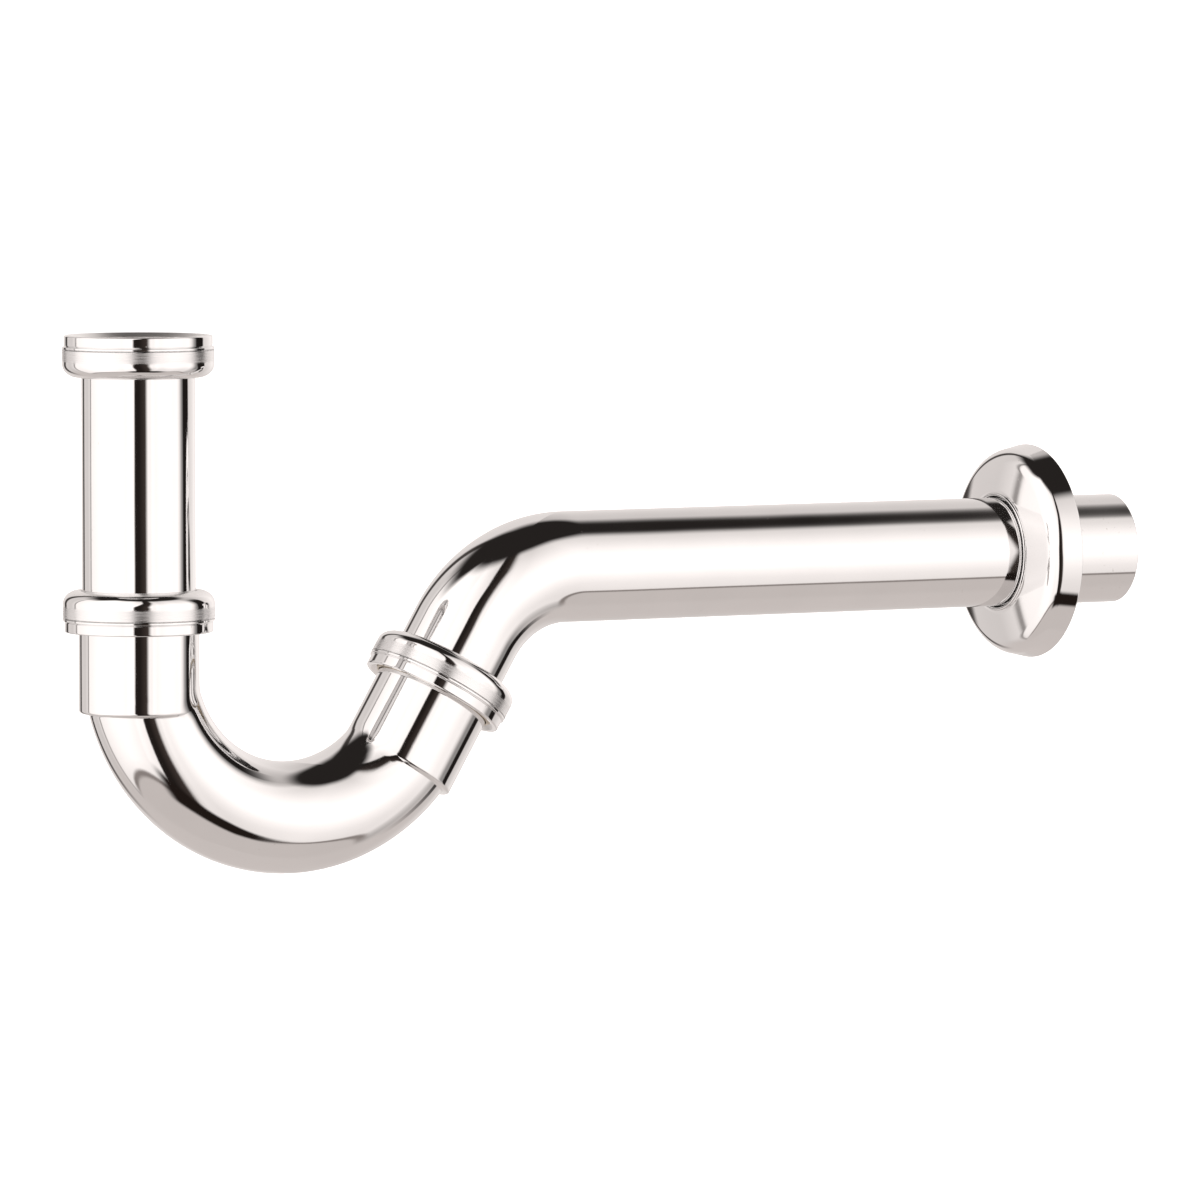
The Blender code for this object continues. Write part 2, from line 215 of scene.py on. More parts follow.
NUT = dict(length=12.9, lip=22.9, band=23.4, lip_end=3.0, step=3.5, groove=4.3, band_end=8.9, shoulder=18.6,
           seat=11.2, relief=8.2, relief_r=21.3, mouth=21.4)
SATIN_BAND = (4.45, 8.0)       # u of the brushed stretch of a nut's side


def union_nut():
    """Outline of a nut, and the shift that cuts its thread."""
    n = NUT
    corners = [(SLIDING_R, n["length"], 0.25)]
    corners += ellipse(n["shoulder"], n["band_end"], n["band"] - n["shoulder"],
                       n["length"] - n["band_end"], 90, 0, 16)
    corners += [(n["band"], n["groove"] + 0.2, 0.08), (n["band"] - 0.2, n["groove"], 0.06)]
    corners += [(n["band"], n["groove"] - 0.2, 0.08), (n["band"], n["step"], 0.15)]
    corners += [(n["lip"] - 0.2, n["step"] - 0.25, 0.1), (n["lip"], n["lip_end"], 0.1)]
    corners += [(n["lip"], 0, 0.45), (n["mouth"], 0, 0.15)]
    corners += [(NUT_MINOR_R, 1.3, 0.2), (NUT_MINOR_R, n["relief"], 0)]
    corners += [(n["relief_r"], n["relief"], 0), (n["relief_r"], n["seat"], 0.3), (SLIDING_R, n["seat"], 0.15)]
    outline = divided(rounded(corners), 0, n["relief"], THREAD_ROWS)

    def shift(radius, u, angle):
        bore = (radius < NUT_MINOR_R + 0.01) & (radius > NUT_MINOR_R - 0.6)
        cut = screw_thread(0.6, n["relief"] + PITCH, NUT_GROOVE_R - NUT_MINOR_R)(radius, u, angle)
        return np.where(bore & (u < n["relief"]), cut, 0)
    return outline, shift


def make_nut(name, matrix, body):
    outline, shift = union_nut()
    made = turned(name + "_fine", outline, matrix, shift)
    place(made, body, name, chrome_nut)


def make_collar(name, matrix, body):
    start, end, bore_r, runout = 0.5, 7.9, 18.85, 0.3
    corners = [(THREAD_ROOT_R, end, 0.12), (THREAD_ROOT_R, start, 0.12)]
    corners += [(bore_r, start, 0.1), (bore_r, end, 0.1)]
    outline = divided(rounded(corners, steps=3, support=0.1), start, end, THREAD_ROWS)

    def shift(radius, u, angle):
        thread = screw_thread(start + runout, end - runout, THREAD_CREST_R - THREAD_ROOT_R)(radius, u, angle)
        return np.where(radius > THREAD_ROOT_R - 0.05, thread, 0)
    made = turned(name + "_fine", outline, matrix, shift)
    place(made, body, name, brass)


def make_ring(name, matrix, body, corners, material):
    made = turned(name + "_fine", rounded(corners), matrix)
    place(made, body, name, material)


def washer(inner_r, low_u, high_u, fillet):
    """Corners of a flat ring."""
    return [(r, u, fillet) for r, u in ((RING_OUTER_R, high_u), (RING_OUTER_R, low_u),
                                        (inner_r, low_u), (inner_r, high_u))]


SLIP_RING = washer(SLIDING_R, 9.8, 10.9, 0.2)
GASKET = washer(16.9, 5.6, 8.0, 0.3)
# Tapered seal: a head under the slip ring, and a neck pressed between tube and socket
SEAL = [(RING_OUTER_R, 9.5, 0.4), (RING_OUTER_R, 8.2, 0.3), (18.6, 8.2, 0.1), (18.45, 5.3, 0.2),
        (SLIDING_R, 5.3, 0.15), (SLIDING_R, 9.5, 0.3)]


# ---------------------------------------------------------------- tubes

def make_dip_tube():
    collar, seat = 9.5, 8.3
    corners = [(TUBE_R, DIP_TUBE_END_U, 0.3), (TUBE_R, collar, 0.5), (RING_OUTER_R, collar, 0.35)]
    corners += [(RING_OUTER_R, seat, 0.5), (BORE_R, seat, 0.6), (BORE_R, DIP_TUBE_END_U, 0.25)]
    outline = divided(rounded(corners), collar + 0.5, DIP_TUBE_END_U, 12)
    made = turned("dip_tube_fine", outline, INLET_FRAME)
    place(made, "inlet_pipe", "dip_tube", chrome_drawn, [r < BORE_R + 0.1 for r, u in outline])


def wall_path(s):
    """Wall tube's centreline from its lower end: leg, bend, level run. Origin at the outlet frame."""
    origin = BEND_OUTLET_FRAME.to_translation() / MM
    level = (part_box("wall_flange")[0].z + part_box("wall_flange")[1].z) / 2 / MM - origin.z
    up = np.array([UP_OUTLET.x, UP_OUTLET.z])
    lower = ARM_END_U * up
    corner = level / up[1] * up
    start = corner - WALL_BEND_RADIUS * tan(RISE / 2) * up
    leg = np.linalg.norm(start - lower)
    sweep = WALL_BEND_RADIUS * RISE
    centre = start + WALL_BEND_RADIUS * np.array([up[1], -up[0]])
    turn = RISE - np.clip((s - leg) / WALL_BEND_RADIUS, 0, RISE)
    normal = np.stack([-np.sin(turn), np.cos(turn)], -1)
    point = centre + WALL_BEND_RADIUS * normal
    before = np.minimum(s - leg, 0)[:, None] * up
    after = np.maximum(s - leg - sweep, 0)[:, None] * np.array([1.0, 0.0])
    return point + before + after, normal


def make_wall_tube():
    origin = BEND_OUTLET_FRAME.to_translation()
    far_x = (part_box("wall_tube")[1].x - origin.x) / MM
    beyond = 500.0             # any distance past the bend, to find how long the tube is
    length = beyond - (wall_path(np.array([beyond]))[0][0, 0] - far_x)
    bend = (35.0, 79.0)        # stretch with close rings of points
    corners = [(TUBE_R, length, 0.3), (TUBE_R, bend[1], 0), (TUBE_R, bend[0], 0), (TUBE_R, 0, 0.3)]
    corners += [(BORE_R, 0, 0.25), (BORE_R, bend[0], 0), (BORE_R, bend[1], 0), (BORE_R, length, 0.25)]
    outline = divided(rounded(corners), *bend, 1.0)
    outline = divided(outline, 0, length, 14)
    made = swept("wall_tube_fine", outline, wall_path, Matrix.Translation(origin))
    place(made, "wall_arm", "wall_tube", chrome_drawn, [r < BORE_R + 0.1 for r, s in outline])


def bend_path(s):
    """U bend's centreline from the start of the bend. Normals point away from the bend's centre."""
    end = pi / 2 + RISE
    turn = np.clip(s / BEND_RADIUS, 0, end)
    normal = np.stack([-np.cos(turn), -np.sin(turn)], -1)
    tangent = np.stack([np.sin(turn), -np.cos(turn)], -1)
    straight = s - turn * BEND_RADIUS
    centre = np.array([BEND_RADIUS, 0.0]) + BEND_RADIUS * normal + straight[:, None] * tangent
    return centre, normal


def capped_cylinder(x, y, z, radius, low, high, edge):
    """Distance to a cylinder about z with rounded edges."""
    across = np.sqrt(x * x + y * y) - (radius - edge)
    along = np.abs(z - (low + high) / 2) - ((high - low) / 2 - edge)
    outside = np.sqrt(np.maximum(across, 0) ** 2 + np.maximum(along, 0) ** 2)
    return np.minimum(np.maximum(across, along), 0) + outside - edge


def blended(a, b, width):
    """Smooth union of two distances, with a fillet of about the given width."""
    overlap = np.maximum(width - np.abs(a - b), 0) / width
    return np.minimum(a, b) - overlap * overlap * width / 4


def bend_radii(s, angles, tube_r, socket_r, inset, edge, fillet):
    """Radius of the U bend's skin round its centreline, where sockets and tube run together."""
    centre, normal = bend_path(s)
    reach = np.linspace(tube_r - 1.5, socket_r + 5.5, 150)
    x = centre[:, 0, None, None] + normal[:, 0, None, None] * np.cos(angles)[None, :, None] * reach
    z = centre[:, 1, None, None] + normal[:, 1, None, None] * np.cos(angles)[None, :, None] * reach
    y = np.sin(angles)[None, :, None] * reach + 0 * x
    skin = reach - tube_r + 0 * x
    for socket in (BEND_INLET_FRAME, BEND_OUTLET_FRAME):
        base = (socket.to_translation() - bend_start) / MM
        axis = socket.col[2].xyz
        along = (x - base.x) * axis.x + (z - base.z) * axis.z
        across = (x - base.x) * axis.z - (z - base.z) * axis.x
        body = capped_cylinder(across, y, along, socket_r, SOCKET_BOTTOM_U + inset, SOCKET_TOP_U + 20, edge)
        skin = blended(skin, body, fillet)
    inside = skin < 0
    last = inside.shape[2] - 1 - np.argmax(inside[:, :, ::-1], axis=2)
    last = np.minimum(last, len(reach) - 2)
    low = np.take_along_axis(skin, last[..., None], 2)[..., 0]
    high = np.take_along_axis(skin, last[..., None] + 1, 2)[..., 0]
    return reach[last] + (reach[1] - reach[0]) * low / (low - high)


def bend_stations(start, end, fine):
    """Distances along the bend, close together where a socket's step crosses it."""
    stations = [start]
    while stations[-1] < end - 0.01:
        here = stations[-1]
        step = 1.7 if 0 < here < BEND_RADIUS * (pi / 2 + RISE) else 2.5
        if any(low < here < high for low, high in fine):
            step = 0.14
        for low, high in fine:
            if here < low < here + step:
                step = low - here + 0.01
        stations.append(min(here + step, end))
    return np.array(stations)


def make_u_bend():
    """Bend and both expanded sockets as one skin. Rings of points are close where a socket ends."""
    angles = np.arange(COLUMNS) * 2 * pi / COLUMNS
    arc_end = BEND_RADIUS * (pi / 2 + RISE)
    inlet_mouth = -((BEND_INLET_FRAME.to_translation() - bend_start).z / MM + SOCKET_TOP_U)
    outlet_base = (BEND_OUTLET_FRAME.to_translation() - bend_start) / MM
    end_point = Vector((BEND_RADIUS * (1 + sin(RISE)), 0, -BEND_RADIUS * cos(RISE)))
    outlet_mouth = arc_end + (outlet_base - end_point).length + SOCKET_TOP_U
    lip = 0.15
    ends = (inlet_mouth + lip, outlet_mouth - lip)
    outer = bend_stations(*ends, [(10.6, 17.9), (arc_end - 14.2, arc_end - 8.2)])
    inner = bend_stations(*ends, [(9.8, 17.2), (arc_end - 13.4, arc_end - 7.6)])
    outer_r = bend_radii(outer, angles, TUBE_R, SOCKET_R, 0, 1.0, 0.5)
    inner_r = bend_radii(inner, angles, BORE_R, SLIDING_R, WALL, 0.3, 0.5)
    # Flat end of each socket, from the outside in at the outlet and from the inside out at the inlet
    outlet_rim = np.array([SOCKET_R - lip, SLIDING_R + lip])
    inlet_rim = outlet_rim[::-1]
    s_rows = np.concatenate([outer, [outlet_mouth] * 2, inner[::-1], [inlet_mouth] * 2])
    r_rows = np.concatenate([outer_r, outlet_rim[:, None] + 0 * angles, inner_r[::-1],
                             inlet_rim[:, None] + 0 * angles])
    centre, normal = bend_path(s_rows)
    x = centre[:, :1] + r_rows * np.cos(angles) * normal[:, :1]
    z = centre[:, 1:] + r_rows * np.cos(angles) * normal[:, 1:]
    y = r_rows * np.sin(angles)
    made = grid_object("u_bend_fine", np.stack([x, y, z], -1) * MM, Matrix.Translation(bend_start))
    first = len(outer) + 2
    inside = [first <= row < first + len(inner) for row in range(len(s_rows))]
    place(made, "bend", "u_bend", chrome_drawn, inside)


def make_flange():
    """Slanted side, rounded shoulder and a face that is part of a large ball, over an even shell."""
    base_r, slant, shoulder, shoulder_u, shell = 34.5, 12.5, 6.0, 4.6, 1.0
    face_r, hub_r, bore_r, lip_u = 118.0, 19.2, 17.95, 12.75
    side_top = shoulder_u + shoulder * sin(radians(slant))
    shoulder_r = base_r - shoulder * cos(radians(slant)) - side_top * tan(radians(slant))
    slope = asin(shoulder_r / (face_r - shoulder))
    face_centre = shoulder_u - (face_r - shoulder) * cos(slope)
    edge_r = face_r * sin(slope)
    face_radii = np.linspace(hub_r + 0.5, edge_r - 0.2, 15).tolist()
    face = [(r, face_centre + sqrt(face_r * face_r - r * r), 0) for r in face_radii]
    # Rolled edge round the tube, with a groove between it and the face
    groove_u = face[0][1] - 0.15
    corners = [(bore_r, 11.0, 0.2), (bore_r, lip_u, 0.35), (18.8, lip_u, 0.35), (19.0, groove_u, 0.12)]
    corners += face + ellipse(shoulder_r, shoulder_u, shoulder, shoulder, 90 - degrees(slope), slant, 32)
    corners += [(base_r, 0, 0.25), (base_r - shell / cos(radians(slant)), 0, 0.2)]
    corners += ellipse(shoulder_r, shoulder_u, shoulder - shell, shoulder - shell, slant, 90 - degrees(slope), 14)
    corners += [(r, u - shell, 0) for r, u, _ in reversed(face[::4])]
    corners += [(bore_r + 0.05, face[0][1] - shell - 0.2, 0.2)]
    made = turned("wall_flange_fine", rounded(corners), FLANGE_FRAME)
    place(made, "flange", "wall_flange", chrome_turned)


def make_grip_ring():
    centre_u, section_r = 8.4, 1.6
    section = ellipse(SLIDING_R + section_r, centre_u, section_r, section_r, 90, -255, 23)
    made = turned("flange_grip_ring_fine", [(r, u) for r, u, _ in section], FLANGE_FRAME)
    place(made, "grip_ring", "flange_grip_ring", rubber)


# ---------------------------------------------------------------- materials

class Nodes:
    """Short forms for wiring a material's nodes."""

    def __init__(self, tree):
        self.tree = tree

    def add(self, kind, inputs=(), **settings):
        node = self.tree.nodes.new(kind)
        for key, value in settings.items():
            setattr(node, key, value)
        for key, value in dict(inputs).items():
            if isinstance(value, bpy.types.NodeSocket):
                self.tree.links.new(value, node.inputs[key])
            else:
                node.inputs[key].default_value = value
        return node

    def math(self, operation, a, b=0.0):
        return self.add("ShaderNodeMath", {0: a, 1: b}, operation=operation).outputs[0]

    def scaled(self, value, low, high, to_low=0.0, to_high=1.0, smooth=False):
        kind = "SMOOTHSTEP" if smooth else "LINEAR"
        node = self.add("ShaderNodeMapRange", {"Value": value, "From Min": low, "From Max": high,
                                               "To Min": to_low, "To Max": to_high},
                        interpolation_type=kind)
        return node.outputs[0]

    def mix(self, share, a, b):
        node = self.add("ShaderNodeMix", {"Factor": share}, data_type="RGBA")
        for socket, value in ((6, a), (7, b)):
            if isinstance(value, bpy.types.NodeSocket):
                self.tree.links.new(value, node.inputs[socket])
            else:
                node.inputs[socket].default_value = (*value, 1)
        return node.outputs[2]

    def ramp(self, degrees_value, rows):
        """Colour from (degrees, brightness) rows between -180 and 180."""
        node = self.add("ShaderNodeValToRGB", {"Fac": self.scaled(degrees_value, -180, 180)})
        stops = node.color_ramp.elements
        for index, (at, value) in enumerate(rows):
            position = (at + 180) / 360
            stop = stops[index] if index < 2 else stops.new(position)
            stop.position = position
            stop.color = (*shown(value), 1)
        return node.outputs[0]

    def noise(self, vector, scale, detail=2.0, roughness=0.5):
        return self.add("ShaderNodeTexNoise", {"Vector": vector, "Scale": scale, "Detail": detail,
                                               "Roughness": roughness}).outputs["Fac"]

    def stretched(self, vector, scale):
        return self.add("ShaderNodeMapping", {"Vector": vector, "Scale": scale}).outputs[0]

    def bump(self, height, distance, strength=1.0, normal=None):
        inputs = {"Height": height, "Distance": distance, "Strength": strength}
        if normal is not None:
            inputs["Normal"] = normal
        return self.add("ShaderNodeBump", inputs).outputs[0]


def new_material(name, metallic):
    made = bpy.data.materials.new(name)
    made.use_nodes = True
    nodes = Nodes(made.node_tree)
    shader = made.node_tree.nodes["Principled BSDF"]
    shader.inputs["Metallic"].default_value = metallic
    where = nodes.add("ShaderNodeTexCoord").outputs["Object"]
    return made, nodes, shader, where


def chrome(name, turned_marks, nut=False):
    """Bright plate: faint waviness, hairlines from polishing, and a few specks of dried water.

    A nut is brushed round a band of its side, and dull inside, where it also has a painted lighter colour that
    stands in for light.
    """
    made, nodes, shader, where = new_material(name, 1.0)
    link = made.node_tree.links.new
    haze = nodes.noise(where, 60, 4)
    specks = nodes.scaled(nodes.noise(where, 900, 2), 0.70, 0.76)
    patches = nodes.scaled(nodes.noise(where, 35, 2), 0.52, 0.62)
    spots = nodes.math("MULTIPLY", specks, patches)
    hair_scale = (60, 60, 5200) if turned_marks else (2600, 2600, 60)
    hairs = nodes.noise(nodes.stretched(where, hair_scale), 1, 3)
    polish = nodes.scaled(haze, 0.35, 0.7, 0.03, 0.065)
    roughness = nodes.math("ADD", polish, nodes.math("MULTIPLY", spots, 0.22))
    roughness = nodes.math("ADD", roughness, nodes.scaled(hairs, 0.55, 0.8, 0, 0.03))
    if nut:
        place_on = nodes.add("ShaderNodeSeparateXYZ", {0: where}).outputs
        u, soft = place_on[2], 0.00012
        low, high = (edge * MM for edge in SATIN_BAND)
        band = nodes.math("MULTIPLY", nodes.scaled(u, low - soft, low + soft),
                          nodes.scaled(u, high + 3 * soft, high - 3 * soft))
        flat = nodes.stretched(where, (1, 1, 0))
        radius = nodes.add("ShaderNodeVectorMath", {0: flat}, operation="LENGTH").outputs["Value"]
        inside = nodes.scaled(radius, 0.0216, 0.0214)
        brushed = nodes.math("MULTIPLY", band, nodes.scaled(hairs, 0.3, 0.7, 0.17, 0.30))
        roughness = nodes.math("ADD", roughness, brushed)
        roughness = nodes.math("ADD", roughness, nodes.math("MULTIPLY", inside, 0.30))
    link(roughness, shader.inputs["Roughness"])
    tint = nodes.mix(nodes.scaled(haze, 0.3, 0.7), (0.80, 0.798, 0.799), (0.825, 0.822, 0.822))
    tint = nodes.mix(nodes.math("MULTIPLY", spots, 0.5), tint, (0.62, 0.60, 0.57))
    # Painted light: the inside of a nut gets a lighter colour than the plate, standing in for light that would
    # brighten it.
    if nut:
        tint = nodes.mix(inside, tint, (0.95, 0.945, 0.94))
    link(tint, shader.inputs["Base Color"])
    waves = nodes.bump(nodes.noise(where, 22, 1), 0.00022)
    fine = nodes.bump(hairs, 0.0000012, 1.0, waves)
    link(fine, shader.inputs["Normal"])
    return made


def bore_material():
    """Bare metal inside the tubes, with drawing lines and a grey water film."""
    made, nodes, shader, where = new_material("bore_metal", 1.0)
    link = made.node_tree.links.new
    film = nodes.noise(where, 70, 5, 0.6)
    lines = nodes.noise(nodes.stretched(where, (900, 900, 900)), 1, 3)
    tint = nodes.mix(nodes.scaled(film, 0.35, 0.7), (0.52, 0.50, 0.47), (0.34, 0.32, 0.30))
    link(tint, shader.inputs["Base Color"])
    link(nodes.scaled(film, 0.3, 0.7, 0.34, 0.55), shader.inputs["Roughness"])
    link(nodes.bump(lines, 0.00001), shader.inputs["Normal"])
    return made


def brass_material():
    """Dull threaded brass, greyed by use."""
    made, nodes, shader, where = new_material("thread_brass", 1.0)
    link = made.node_tree.links.new
    patina = nodes.noise(where, 90, 5, 0.6)
    lathe = nodes.noise(nodes.stretched(where, (80, 80, 9000)), 1, 3)
    tint = nodes.mix(nodes.scaled(patina, 0.35, 0.7), (0.66, 0.58, 0.46), (0.50, 0.44, 0.36))
    link(tint, shader.inputs["Base Color"])
    link(nodes.scaled(patina, 0.3, 0.7, 0.2, 0.42), shader.inputs["Roughness"])
    link(nodes.bump(lathe, 0.000006), shader.inputs["Normal"])
    return made


def rubber_material():
    """Black rubber with a pale bloom."""
    made, nodes, shader, where = new_material("seal_rubber", 0.0)
    link = made.node_tree.links.new
    bloom = nodes.noise(where, 160, 5, 0.65)
    grain = nodes.noise(where, 3500, 3)
    tint = nodes.mix(nodes.scaled(bloom, 0.4, 0.75), (0.018, 0.018, 0.019), (0.055, 0.053, 0.05))
    link(tint, shader.inputs["Base Color"])
    link(nodes.scaled(bloom, 0.3, 0.7, 0.55, 0.85), shader.inputs["Roughness"])
    link(nodes.bump(grain, 0.00002), shader.inputs["Normal"])
    return made


def nylon_material():
    """Natural white nylon."""
    made, nodes, shader, where = new_material("slip_nylon", 0.0)
    link = made.node_tree.links.new
    flow = nodes.noise(where, 120, 4)
    grain = nodes.noise(where, 2500, 2)
    link(nodes.mix(flow, (0.80, 0.79, 0.74), (0.88, 0.87, 0.84)), shader.inputs["Base Color"])
    link(nodes.scaled(flow, 0.3, 0.7, 0.35, 0.5), shader.inputs["Roughness"])
    link(nodes.bump(grain, 0.000008), shader.inputs["Normal"])
    shader.inputs["Subsurface Weight"].default_value = 0.15
    shader.inputs["Subsurface Radius"].default_value = (0.002, 0.002, 0.0015)
    return made


chrome_drawn = chrome("chrome_drawn_tube", False)
chrome_turned = chrome("chrome_turned", True)
chrome_nut = chrome("chrome_nut", True, nut=True)
bore_metal = bore_material()
brass = brass_material()
rubber = rubber_material()
nylon = nylon_material()


def place(made, body, node, material, inside=()):
    """Give a fine piece its material and body, and let it stand for its CAD node.

    inside says for each row of faces whether it is the bore of a tube.
    """
    made.data.materials.append(material)
    if len(inside):
        made.data.materials.append(bore_metal)
        index = np.repeat(np.array(inside, dtype=int), COLUMNS)
        made.data.polygons.foreach_set("material_index", index)
    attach(made, body)
    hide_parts(node)


# ---------------------------------------------------------------- the object

make_nut("inlet_union_nut", INLET_FRAME, "inlet_nut")
make_ring("inlet_slip_ring", INLET_FRAME, "inlet_ring", SLIP_RING, nylon)
make_ring("inlet_gasket", INLET_FRAME, "inlet_pipe", GASKET, rubber)
make_dip_tube()
make_u_bend()
for end, matrix, nut_body, ring_body, seal_body in (
        ("bend_inlet", BEND_INLET_FRAME, "bend_nut", "bend_ring", "bend_seal"),
        ("bend_outlet", BEND_OUTLET_FRAME, "outlet_nut", "outlet_ring", "outlet_seal")):
    make_collar(end + "_collar", matrix, "bend")
    make_ring(end + "_seal", matrix, seal_body, SEAL, rubber)
    make_ring(end + "_slip_ring", matrix, ring_body, SLIP_RING, nylon)
    make_nut(end + "_nut", matrix, nut_body)
make_wall_tube()
make_flange()
make_grip_ring()


# ---------------------------------------------------------------- studio

VIEW_AZIMUTH = -28.0
VIEW_ELEVATION = 3.945
VIEW_DISTANCE = 2.957
VIEW_TARGET = Vector((0.1604, 0, -0.0810))
VIEW_LENS = 281.4
PLATE_TONE = 0.81              # share of light that the plate sends back


def camera():
    data = bpy.data.cameras.new("camera")
    data.lens = VIEW_LENS
    data.sensor_width = 36
    data.clip_start = 0.05
    data.clip_end = 60
    made = bpy.data.objects.new("camera", data)
    bpy.context.scene.collection.objects.link(made)
    azimuth, elevation = radians(VIEW_AZIMUTH), radians(VIEW_ELEVATION)
    back = Vector((sin(azimuth) * cos(elevation), -cos(azimuth) * cos(elevation), sin(elevation)))
    made.location = VIEW_TARGET + back * VIEW_DISTANCE
    made.rotation_mode = "QUATERNION"
    made.rotation_quaternion = (-back).to_track_quat("-Z", "Y")
    bpy.context.scene.camera = made


def shown(value, warmth=0.02):
    """World colour that bright plate shows at this brightness on screen (0 to 1)."""
    tones = (value + warmth * 0.55, value - warmth * 0.12, value - warmth * 0.43)
    return tuple(((max(tone, 0.02) + 0.055) / 1.055) ** 2.4 / PLATE_TONE for tone in tones)


# Brightness of the studio's walls at eye level, by heading: 0 towards the camera, positive to its right.
# The two low stretches on the far left are the edges of a standing panel.
AROUND = (
    (-180, 0.78), (-152, 0.76), (-148, 0.22), (-141, 0.22), (-138, 0.74), (-122, 0.73), (-113, 0.80),
    (-111.5, 0.52), (-109.5, 0.52), (-108, 0.90), (-96, 0.92), (-80, 0.955), (-56, 0.985), (-40, 0.97),
    (-22, 0.93), (-17, 0.955), (27, 0.92), (31, 0.965), (38, 0.94), (57, 0.99), (78, 0.95), (88, 0.96),
    (95, 0.84), (104, 0.74), (130, 0.80), (152, 0.88), (180, 0.78),
)
# Brightness of the right-hand wall and of the left-hand wall by elevation
UP_RIGHT = ((-52, 0.80), (-40, 0.84), (-28, 0.86), (-16, 0.91), (-4, 0.97), (12, 0.99), (22, 0.96),
            (34, 0.91), (44, 0.86), (56, 0.80))
UP_LEFT = ((-50, 0.88), (-42, 0.94), (-20, 0.97), (0, 0.99), (50, 0.985), (64, 0.94))
# What the rest shows on the plate
GAP_TONE = shown(0.10)
GAP_EDGE_TONE = shown(0.5)
SLOT_TONES = (shown(0.11, 0.03), shown(0.21, 0.05))
CEILING_TONE = shown(0.13)
FLOOR_TONE = shown(0.73, 0.05)
FAR_FLOOR_TONE = shown(0.745, 0.05)
LINE_TONE = shown(0.50, 0.05)
FOOT_TONE = shown(0.10, 0.04)
# What the camera sees directly: the wall behind the trap and the walls to the sides
WHITE_WALL = (1.2, 1.2, 1.2)
GREY_WALL = (0.66, 0.655, 0.65)


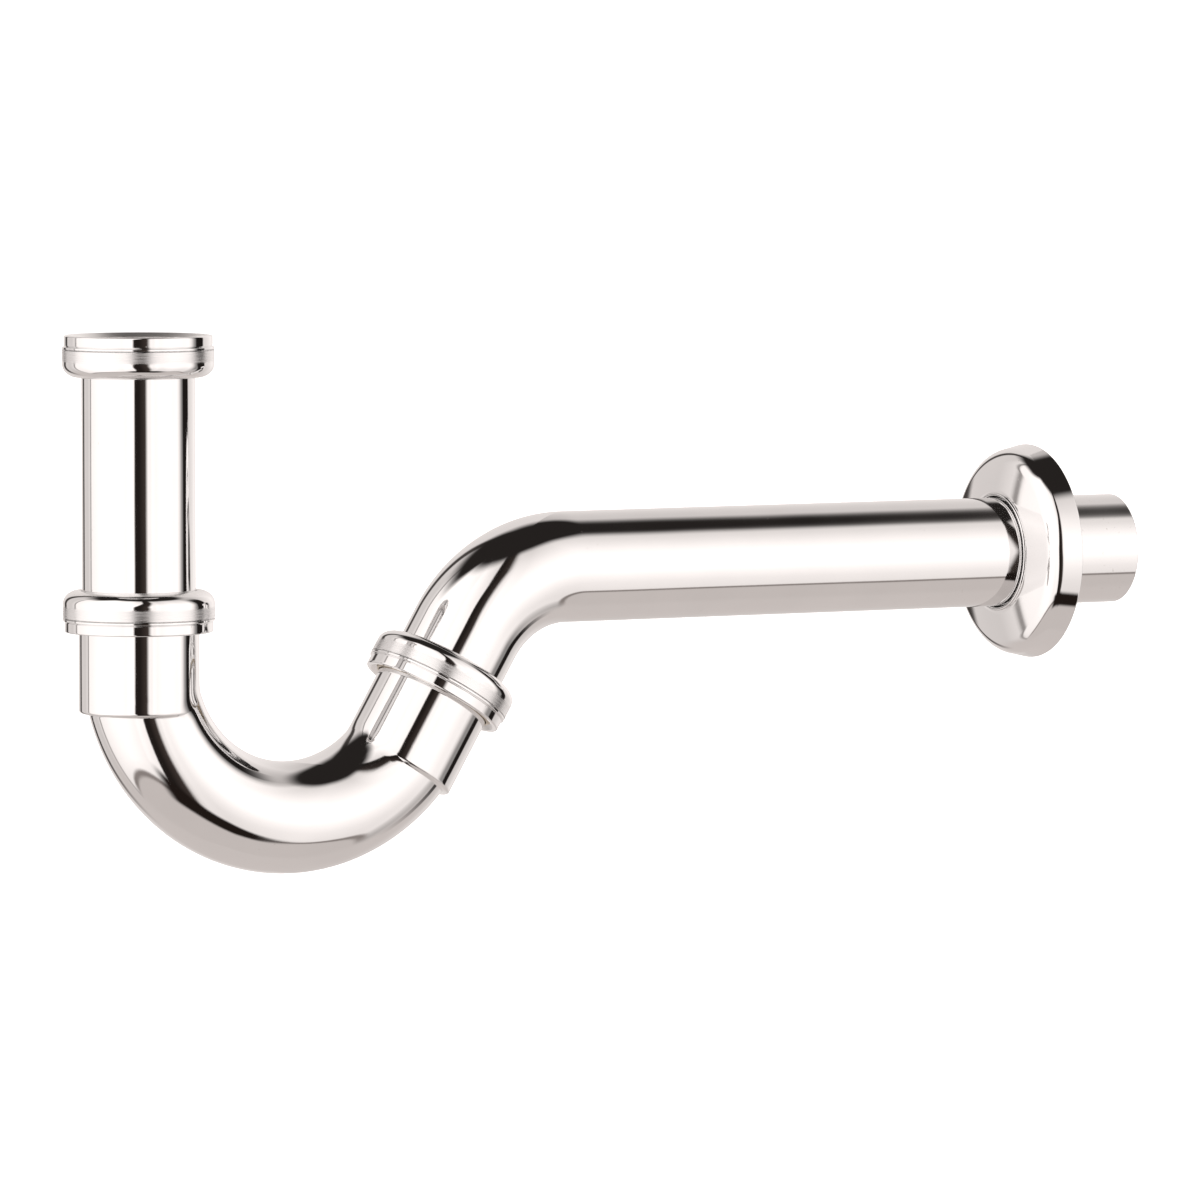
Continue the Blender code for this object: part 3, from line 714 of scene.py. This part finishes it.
def studio_world():
    """White walls to the left and right, a dark slot for the camera, a dark ceiling and a warm floor.

    Headings, elevations (rise) and the widths of soft edges are in degrees.
    """
    world = bpy.data.worlds.new("studio")
    bpy.context.scene.world = world
    world.use_nodes = True
    tree = world.node_tree
    nodes = Nodes(tree)
    azimuth = radians(VIEW_AZIMUTH)
    where = nodes.add("ShaderNodeTexCoord").outputs["Generated"]

    def part(direction):
        inputs = {0: where, 1: direction}
        return nodes.add("ShaderNodeVectorMath", inputs, operation="DOT_PRODUCT").outputs["Value"]

    def above(value, edge, soft):
        """0 below the edge and 1 above it. The edge may be a socket."""
        return nodes.scaled(nodes.math("SUBTRACT", value, edge), -soft, soft, smooth=True)

    def below(value, edge, soft):
        return nodes.scaled(nodes.math("SUBTRACT", value, edge), soft, -soft, smooth=True)

    def both(a, b):
        return nodes.math("MULTIPLY", a, b)

    def distance(value, centre):
        return nodes.math("ABSOLUTE", nodes.math("SUBTRACT", value, centre))

    def within(value, low, high, soft):
        return both(above(value, low, soft), below(value, high, soft))

    def total(*values):
        result = values[0]
        for value in values[1:]:
            result = nodes.math("ADD", result, value)
        return result

    up = part((0, 0, 1))
    side = part((cos(azimuth), sin(azimuth), 0))
    ahead = part((sin(azimuth), -cos(azimuth), 0))
    heading = nodes.math("DEGREES", nodes.math("ARCTAN2", side, ahead))
    rise = nodes.math("DEGREES", nodes.math("ARCSINE", up))

    around = nodes.ramp(heading, AROUND)
    upwards = nodes.mix(below(heading, 0, 20), nodes.ramp(rise, UP_RIGHT), nodes.ramp(rise, UP_LEFT))
    walls = nodes.add("ShaderNodeMix", {"Factor": 1.0, 6: upwards, 7: around}, data_type="RGBA",
                      blend_type="MULTIPLY")
    colour = walls.outputs[2]
    # The floor comes up further behind the trap, without an edge
    aside = nodes.math("ABSOLUTE", heading)
    colour = nodes.mix(both(above(aside, 112, 12), below(rise, -30, 12)), colour, FAR_FLOOR_TONE)
    # Dark gap at the end of the right-hand wall, narrower and further round low down
    gap_centre = nodes.scaled(rise, 0, -30, 113, 119)
    gap_half = nodes.scaled(rise, 0, -32, 10, 6)
    gap = below(distance(heading, gap_centre), gap_half, 2)
    gap_edge = below(distance(heading, 108), 10, 5)
    colour = nodes.mix(both(gap_edge, within(rise, -25, 40, 8)), colour, GAP_EDGE_TONE)
    colour = nodes.mix(both(gap, within(rise, -36, 40, 10)), colour, GAP_TONE)
    # Slot for the camera: it leans to the right above and below eye level, and narrows above
    slot_centre = total(6.5, nodes.scaled(rise, 0, -30, 0, 5), nodes.scaled(rise, 5, 42, 0, 11))
    slot_half = nodes.scaled(rise, -5, 38, 12.5, 8)
    slot = both(above(heading, nodes.math("SUBTRACT", slot_centre, slot_half), 1.8),
                below(heading, nodes.math("ADD", slot_centre, slot_half), 3.6))
    slot_share = nodes.scaled(nodes.math("SUBTRACT", heading, slot_centre), -3, 11)
    slot_tone = nodes.mix(slot_share, *SLOT_TONES)
    colour = nodes.mix(slot, colour, slot_tone)
    # Ceiling, lower to the right and on the far left
    edge = total(66, nodes.scaled(heading, -20, 40, 0, -6), nodes.scaled(heading, 60, 96, 0, -4.5),
                 nodes.scaled(heading, -62, -95, 0, -18, smooth=True),
                 nodes.scaled(heading, -145, -165, 0, 9, smooth=True))
    past = nodes.math("DIVIDE", nodes.math("SUBTRACT", rise, edge), nodes.scaled(heading, -65, -95, 5.5, 9))
    colour = nodes.mix(nodes.scaled(past, -1, 1, smooth=True), colour, CEILING_TONE)
    # Floor, and the dark line where the walls meet it
    corner = total(-49, nodes.scaled(heading, 46, 74, 0, 6, smooth=True),
                   nodes.scaled(heading, 78, 112, 0, -6, smooth=True))
    floor_tone = nodes.mix(above(aside, 110, 14), FLOOR_TONE, FAR_FLOOR_TONE)
    colour = nodes.mix(below(rise, corner, 1.5), colour, floor_tone)
    line = both(below(distance(rise, corner), 1.6, 1.2), below(aside, 104, 12))
    colour = nodes.mix(line, colour, LINE_TONE)
    # Dark foot of the walls in front of the trap, thinner to the right
    foot = below(distance(rise, corner), nodes.scaled(heading, 36, 66, 8, 1.5), 2.5)
    foot = both(foot, within(heading, -14, 55, 10))
    colour = nodes.mix(foot, colour, FOOT_TONE)
    # Seen directly, the wall behind the trap is white, and the others are pale grey
    seen = nodes.add("ShaderNodeLightPath").outputs["Is Camera Ray"]
    backdrop = nodes.mix(above(aside, 148, 16), GREY_WALL, WHITE_WALL)
    colour = nodes.mix(seen, colour, backdrop)
    tree.links.new(colour, tree.nodes["Background"].inputs["Color"])


def floor():
    """Round pale floor well below the hanging trap, seen only from above.

    It glows white in a wedge that opens away from the camera, so that it matches the wall there.
    """
    count, radius, height, apex = 96, 12.0, -0.48, 1.0
    mesh = bpy.data.meshes.new("floor")
    angles = [2 * pi * i / count for i in range(count)]
    mesh.from_pydata([(radius * cos(a), radius * sin(a), height) for a in angles], [], [list(range(count))])
    made = bpy.data.objects.new("floor", mesh)
    bpy.context.scene.collection.objects.link(made)
    material = bpy.data.materials.new("floor_paper")
    material.use_nodes = True
    nodes = Nodes(material.node_tree)
    link = material.node_tree.links.new
    shader = material.node_tree.nodes["Principled BSDF"]
    shader.inputs["Base Color"].default_value = (0.9, 0.895, 0.885, 1)
    shader.inputs["Roughness"].default_value = 0.9
    shader.inputs["Emission Color"].default_value = (1, 1, 1, 1)
    azimuth = radians(VIEW_AZIMUTH)
    away = Vector((-sin(azimuth), cos(azimuth), 0))
    tip = Vector((VIEW_TARGET.x, 0, height)) - apex * away
    where = nodes.add("ShaderNodeTexCoord").outputs["Object"]
    offset = nodes.add("ShaderNodeVectorMath", {0: where, 1: tip}, operation="SUBTRACT").outputs[0]
    offset = nodes.add("ShaderNodeVectorMath", {0: offset}, operation="NORMALIZE").outputs[0]
    behind = nodes.add("ShaderNodeVectorMath", {0: offset, 1: away}, operation="DOT_PRODUCT").outputs["Value"]
    link(nodes.scaled(behind, 0.87, 0.97, smooth=True), shader.inputs["Emission Strength"])
    clear = nodes.add("ShaderNodeBsdfTransparent").outputs[0]
    under = nodes.add("ShaderNodeNewGeometry").outputs["Backfacing"]
    surface = nodes.add("ShaderNodeMixShader", {0: under, 1: shader.outputs[0], 2: clear}).outputs[0]
    link(surface, material.node_tree.nodes["Material Output"].inputs["Surface"])
    mesh.materials.append(material)
    made.visible_glossy = False


def soft_light(name, location, size, power, target):
    data = bpy.data.lights.new(name, "AREA")
    data.size = size
    data.energy = power
    made = bpy.data.objects.new(name, data)
    bpy.context.scene.collection.objects.link(made)
    made.location = location
    made.rotation_mode = "QUATERNION"
    made.rotation_quaternion = (Vector(location) - Vector(target)).to_track_quat("Z", "Y")
    made.visible_glossy = False


camera()
studio_world()
floor()
soft_light("key", (-1.2, -1.6, 1.6), 1.4, 30, (0.15, 0, -0.08))
bpy.context.scene.view_settings.view_transform = "Standard"
